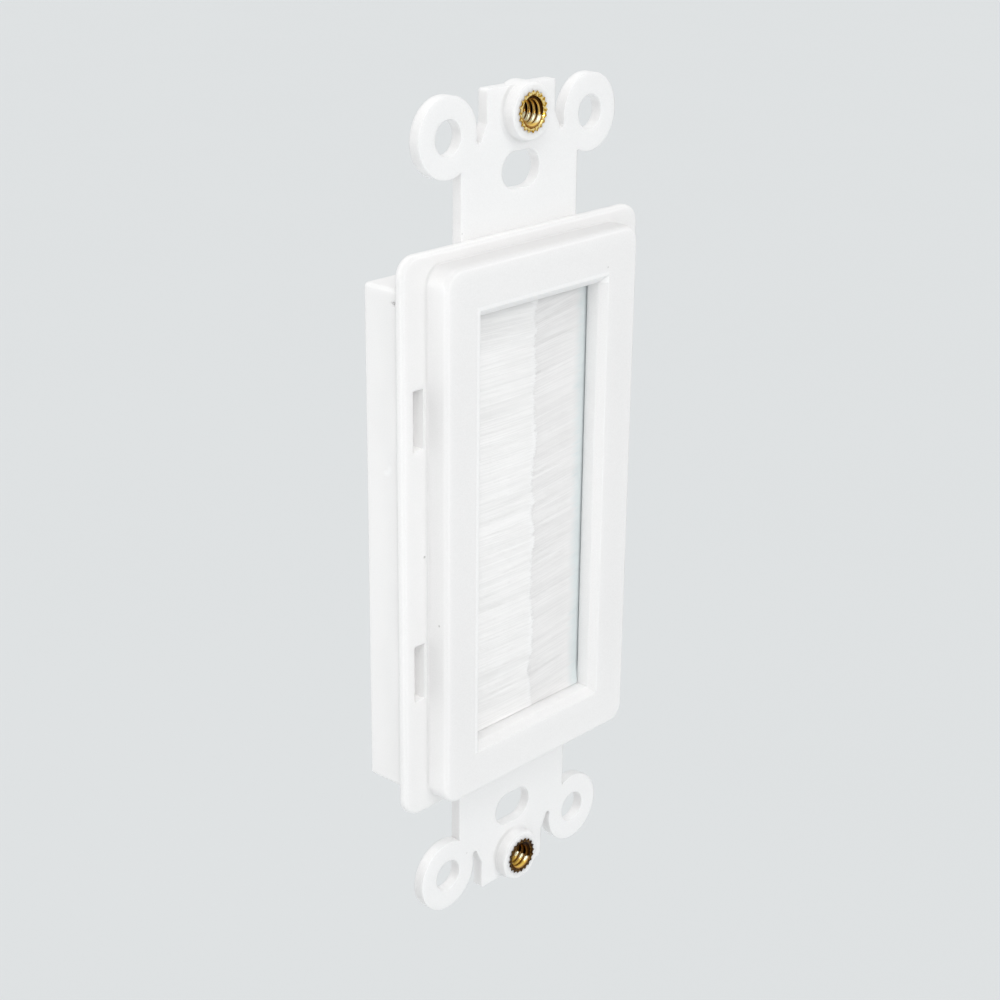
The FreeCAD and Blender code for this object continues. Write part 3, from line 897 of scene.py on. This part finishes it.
# %% The shape of each strip: x of the stations, and y at each of them, in mm
STATIONS = np.array([14.2, 11.9, OPENING_HALF_WIDTH, 6.6, 3.0, -1.10])
MOUTH = STATIONS[1]
SURFACE = {("left", "front"): (-2.64, -2.52, -2.62, -2.88, -2.98, -2.94),
           ("left", "back"): (-1.08, -1.20, -1.05, -0.86, -1.45, -2.58),
           ("right", "front"): (-2.66, -2.74, -2.88, -2.88, -2.80, -2.60),
           ("right", "back"): (-1.08, -1.20, -1.05, -0.86, -0.82, -0.84)}
OUTWARD = {"front": -1, "back": 1}
DROOP = {"left": (0.000, 0.080), "right": (0.125, 0.060)}
DROOP_MORE = (20.0, 27.0)
LEAN_SHARES = (0.013, 0.012, 0.004)
FULL_SHARES = (0.030, 0.035, 0.006)
SWELL_RUN = (1.0, 6.0)
LIP_REAR, LIP_GAP = -3.10, 0.015
PRESSED_FROM = (23.5, 27.0)
PRESSED_TO = LIP_REAR + LIP_GAP
BEND, BEND_LENGTH = 0.4, 13.0


def smooth(value, low, high):
    """0 below low, 1 above high, and an easy curve between."""
    t = np.clip((value - low) / (high - low), 0, 1)
    return t * t * (3 - 2 * t)


def mixed(waves, shares):
    """The three random curves added up, each with its share."""
    return sum(share * wave for share, wave in zip(shares, waves))


def lay(hand, face, z0, deep, shorter):
    """Centre lines in mm of filaments rooted at height z0.

    deep runs from 0 at the strip's surface to 1 at its middle, and shorter draws the tips back.
    """
    waves = [np.interp(z0, LAID, wave) for wave in WAVES[hand]]
    even, extra = DROOP[hand]
    lean = even + extra * smooth(z0, *DROOP_MORE) + mixed(waves, LEAN_SHARES)
    full = mixed(waves, FULL_SHARES)
    near = SURFACE[hand, face]
    far = SURFACE[hand, "back" if face == "front" else "front"]
    pressed = smooth(-z0, *PRESSED_FROM)
    path = np.zeros((len(z0), len(STATIONS), 3))
    for k, station in enumerate(STATIONS):
        x = np.full(len(z0), station)
        if k == len(STATIONS) - 1:
            x = x + shorter
        run = np.maximum(MOUTH - x, 0.0)
        path[:, k, 0] = x if hand == "right" else -x
        swell = OUTWARD[face] * full * smooth(run, *SWELL_RUN)
        path[:, k, 1] = near[k] + deep * 0.5 * (far[k] - near[k]) + swell
        if face == "front" and station < MOUTH:
            path[:, k, 1] += pressed * (PRESSED_TO - path[:, k, 1]) * (1.0 - deep)
        path[:, k, 2] = z0 - lean * run * (1.0 - BEND + BEND * run / BEND_LENGTH)
    return path


# %% [markdown]
# Most filaments lie near the surface, where they are seen, and the rest anywhere between it and
# the middle. Every filament also has a little way of its own, and one in fifty strays. All are
# held inside the room that the CAD leaves for the strip.

# %% Paths of all the filaments in one layer: sizes in mm
FILAMENTS = 6000
NEAR_SURFACE, SURFACE_DEPTH = 0.85, 0.10
TIP_SHARES = (-0.30, -0.12, -0.16)
TIP_SPREAD, TIP_LIMIT = 0.20, 0.8
STRAYS, STRAY_LEAN, OWN_LEAN = 0.02, 0.030, 0.002
SHAKE_DEEP, SHAKE_HIGH = 0.011, 0.020
HELD_STATIONS = 2
FOREMOST, HINDMOST = -3.13, -0.72
LOWEST_SPREAD = 0.1
THINNEST, THICKEST = 0.042, 0.055


def filament_paths(hand, face, seed):
    """Paths and radii in mm of one layer of filaments."""
    rng = np.random.default_rng(seed)
    z0 = PACK_LOW + (PACK_HIGH - PACK_LOW) * (np.arange(FILAMENTS) + rng.random(FILAMENTS)) / FILAMENTS
    on_surface = rng.random(FILAMENTS) < NEAR_SURFACE
    deep = np.where(on_surface, SURFACE_DEPTH * rng.random(FILAMENTS), rng.random(FILAMENTS))
    waves = [np.interp(z0, LAID, wave) for wave in WAVES[hand]]
    shorter = mixed(waves, TIP_SHARES) + rng.normal(0.0, TIP_SPREAD, FILAMENTS)
    path = lay(hand, face, z0, deep, np.clip(shorter, -TIP_LIMIT, TIP_LIMIT))
    run = np.maximum(MOUTH - STATIONS, 0.0)[None, :]
    is_stray = rng.random(FILAMENTS) < STRAYS
    lean = np.where(is_stray, rng.normal(0.0, STRAY_LEAN, FILAMENTS), rng.normal(0.0, OWN_LEAN, FILAMENTS))
    path[:, :, 2] += lean[:, None] * run
    free = (FILAMENTS, len(STATIONS) - HELD_STATIONS)
    path[:, HELD_STATIONS:, 1] += rng.normal(0.0, SHAKE_DEEP, free)
    path[:, HELD_STATIONS:, 2] += rng.normal(0.0, SHAKE_HIGH, free)
    path[:, :, 1] = np.clip(path[:, :, 1], FOREMOST, HINDMOST)
    path[:, :, 2] = np.clip(path[:, :, 2], PACK_LOW + LOWEST_SPREAD * deep[:, None], PACK_HIGH)
    return path, rng.uniform(THINNEST, THICKEST, FILAMENTS)


# %% The packed middle of a strip
BUNDLE_ROWS = 420
BUNDLE_INSET = 0.15
BUNDLE_DEEP = 0.09
BUNDLE_SHORT = 0.45


def bundle(hand, material):
    """The inside of a strip, packed too tightly to see between: a closed body under the filaments."""
    z0 = np.linspace(PACK_LOW + BUNDLE_INSET, PACK_HIGH - BUNDLE_INSET, BUNDLE_ROWS)
    deep, shorter = np.full(BUNDLE_ROWS, BUNDLE_DEEP), np.full(BUNDLE_ROWS, BUNDLE_SHORT)
    front, back = (lay(hand, face, z0, deep, shorter) for face in ("front", "back"))
    loops = np.concatenate([front, back[:, ::-1]], axis=1)
    faces = closed_skin(*loops.shape[:2])
    if hand == "left":
        faces = [face[::-1] for face in faces]
    return body(f"bundle_{hand}", (loops.reshape(-1, 3) * MM).tolist(), faces, material)


# %% [markdown]
# A layer has thousands of tubes, so they are one mesh, filled from arrays in one go: adding an
# object for each would take minutes. A tube has three sides, which is enough at the thickness of a
# hair. It is flattened, as a pressed bristle is, and thinner at the tip.

# %% Tubes along the paths, as one mesh
SIDES = 3
FLATTER = 0.5
TIP_THINNER = 0.62


def tube_points(paths, thick, outward):
    """Corners of all the tubes, ring by ring, in metres."""
    along = np.gradient(paths, axis=1)
    along /= np.linalg.norm(along, axis=2, keepdims=True)
    across = np.cross(along, np.array([0.0, 0.0, 1.0]))
    across /= np.linalg.norm(across, axis=2, keepdims=True)
    across *= outward * np.sign(across[:, :, 1:2])
    upward = np.cross(across, along)
    taper = np.ones(paths.shape[1])
    taper[-1] = TIP_THINNER
    radius = (thick[:, None] * taper[None, :])[..., None]
    turns = [math.pi * (2 * j + 1) / SIDES for j in range(SIDES)]
    rims = [paths + radius * (FLATTER * math.cos(t) * across + math.sin(t) * upward) for t in turns]
    return np.stack(rims, axis=2).reshape(-1, 3) * MM


def tube_faces(count, stations):
    """Corner numbers and sizes of all faces: four-sided walls, then the root ends, then the tips."""
    first = np.arange(count)[:, None, None] * stations * SIDES
    ring = np.arange(stations - 1)[None, :, None] * SIDES
    j = np.arange(SIDES)[None, None, :]
    a = first + ring + j
    b = first + ring + (j + 1) % SIDES
    walls = np.stack([a, a + SIDES, b + SIDES, b], axis=-1).reshape(-1, 4)
    roots = first[:, :, 0] + np.arange(SIDES)[None, :]
    tips = first[:, :, 0] + (stations - 1) * SIDES + np.arange(SIDES)[None, ::-1]
    corners = np.concatenate([walls.ravel(), roots.ravel(), tips.ravel()])
    return corners, np.concatenate([np.full(len(walls), 4), np.full(2 * count, SIDES)])


def tubes(name, paths, thick, outward):
    """Slim closed tubes, all in one mesh; outward is the y sign that their flat side faces."""
    points = tube_points(paths, thick, outward)
    corners, sizes = tube_faces(*paths.shape[:2])
    mesh = bpy.data.meshes.new(name)
    mesh.vertices.add(len(points))
    mesh.vertices.foreach_set("co", points.ravel())
    mesh.loops.add(len(corners))
    mesh.loops.foreach_set("vertex_index", corners)
    mesh.polygons.add(len(sizes))
    mesh.polygons.foreach_set("loop_start", np.concatenate([[0], np.cumsum(sizes)[:-1]]))
    mesh.polygons.foreach_set("use_smooth", np.zeros(len(sizes), dtype=bool))
    mesh.update(calc_edges=True)
    return put(name, mesh)


# %% [markdown]
# ### Nylon
#
# Nylon filaments are white and let a little light through. Each filament is one loose island of the mesh,
# and the Random Per Island value gives each its own tone. Noise that is stretched along the filaments adds
# the lighter and darker bands of the tufts. The strip is shaded under the upper lip. The right strip's
# whites are painted darker than the left's as shade. Towards its root, where one looks past the filaments
# into the dark, it is painted a darker, cooler white as shade. The left strip's tips are painted whiter as a
# highlight, with a ragged edge.

# %% Nylon of one strip: sizes in mm
SINGLE_SHARE = 0.30
BANDS = ((1.5, 22.0, 0.36), (0.42, 12.0, 0.34))
BAND_DETAIL = 1.0
TONES = (0.36, 0.64)
UNDER_LIP = (25.3, 26.3)
LIP_GREY = (0.60, 0.60, 0.60)
LIP_SHARE = 0.4
TIP_HIGHLIGHT_WHITE = (0.985, 0.985, 0.985)
TIP_HIGHLIGHT_SHARE, FRAYED_DEPTH = 0.8, 0.9
ROOT_SHADE_WHITE = (0.755, 0.806, 0.812)
ROOT_SHADE_DEPTH = 2.4
NYLON_ROUGH = (0.40, 0.55)
NYLON_IOR = 1.53
LEFT = {"light": (0.975, 0.970, 0.965), "shade": (0.890, 0.888, 0.882), "slope": 0.0, "tip_highlight": (0.9, 1.6)}
# The right strip's whites are painted darker than the left's: painted shade.
RIGHT = {"light": (0.922, 0.916, 0.912), "shade": (0.842, 0.836, 0.833), "slope": 0.125, "root_shade": (9.7, 11.0)}


def band_value(tree, x, laid, width, length):
    """Noise from 0 to 1 in bands of a width, drawn out along the filaments."""
    inputs = {0: calc(tree, "DIVIDE", x, length * MM), 2: calc(tree, "DIVIDE", laid, width * MM)}
    along = node(tree, "ShaderNodeCombineXYZ", inputs).outputs[0]
    texture = {"Vector": along, "Scale": 1.0, "Detail": BAND_DETAIL}
    return node(tree, "ShaderNodeTexNoise", texture).outputs[0]


def nylon(name, light, shade, slope, root_shade=None, tip_highlight=None):
    """Filament material: bands of tufts, a tone for each filament, and for one strip a root painted darker
    as shade, for the other tips painted whiter as a highlight.
    """
    material, tree, out = new_material(name)
    place = node(tree, "ShaderNodeTexCoord").outputs["Object"]
    at = axes_of(tree, place)
    x, z = at["X"], at["Z"]
    single = node(tree, "ShaderNodeNewGeometry").outputs["Random Per Island"]
    laid = calc(tree, "MULTIPLY_ADD", x, -slope, z)
    total = calc(tree, "MULTIPLY", single, SINGLE_SHARE)
    for width, length, share in BANDS:
        total = calc(tree, "MULTIPLY_ADD", band_value(tree, x, laid, width, length), share, total)
    colour = blend_colour(tree, step_up(tree, total, *TONES), shade, light)
    colour = blend_colour(tree, ramp(tree, z, *UNDER_LIP, LIP_SHARE), colour, LIP_GREY)
    # The tips are painted whiter here: a painted highlight with a ragged edge.
    if tip_highlight:
        uneven = calc(tree, "MULTIPLY_ADD", single, FRAYED_DEPTH * MM, x)
        colour = blend_colour(tree, ramp(tree, uneven, *tip_highlight, TIP_HIGHLIGHT_SHARE), colour, TIP_HIGHLIGHT_WHITE)
    # The root is painted a darker, cooler white here: painted shade.
    if root_shade:
        uneven = calc(tree, "MULTIPLY_ADD", total, ROOT_SHADE_DEPTH * MM, x)
        colour = blend_colour(tree, ramp(tree, uneven, *root_shade), colour, ROOT_SHADE_WHITE)
    rough = between(tree, single, *NYLON_ROUGH)
    skin(tree, out, {"Base Color": colour, "Roughness": rough, "IOR": NYLON_IOR})
    return material


# %% Put both strips together
LAYER_SEEDS = {("left", "front"): 12, ("left", "back"): 13, ("right", "front"): 24, ("right", "back"): 25}


def brush(hand, material):
    """Two layers of filaments round a packed middle, all in place of one CAD bristle pack."""
    made = [bundle(hand, material)]
    for face, outward in OUTWARD.items():
        paths, thick = filament_paths(hand, face, LAYER_SEEDS[hand, face])
        strip = tubes(f"filaments_{hand}_{face}", paths, thick, outward)
        strip.data.materials.append(material)
        made.append(strip)
    for piece in made:
        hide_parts(f"bristles_{hand}")
        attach(piece, "root")
    return made


strips = brush("left", nylon("nylon_left", **LEFT)) + brush("right", nylon("nylon_right", **RIGHT))
for strip in strips:
    strip.data.calc_loop_triangles()
    print(strip.name, len(strip.data.loop_triangles), "triangles")
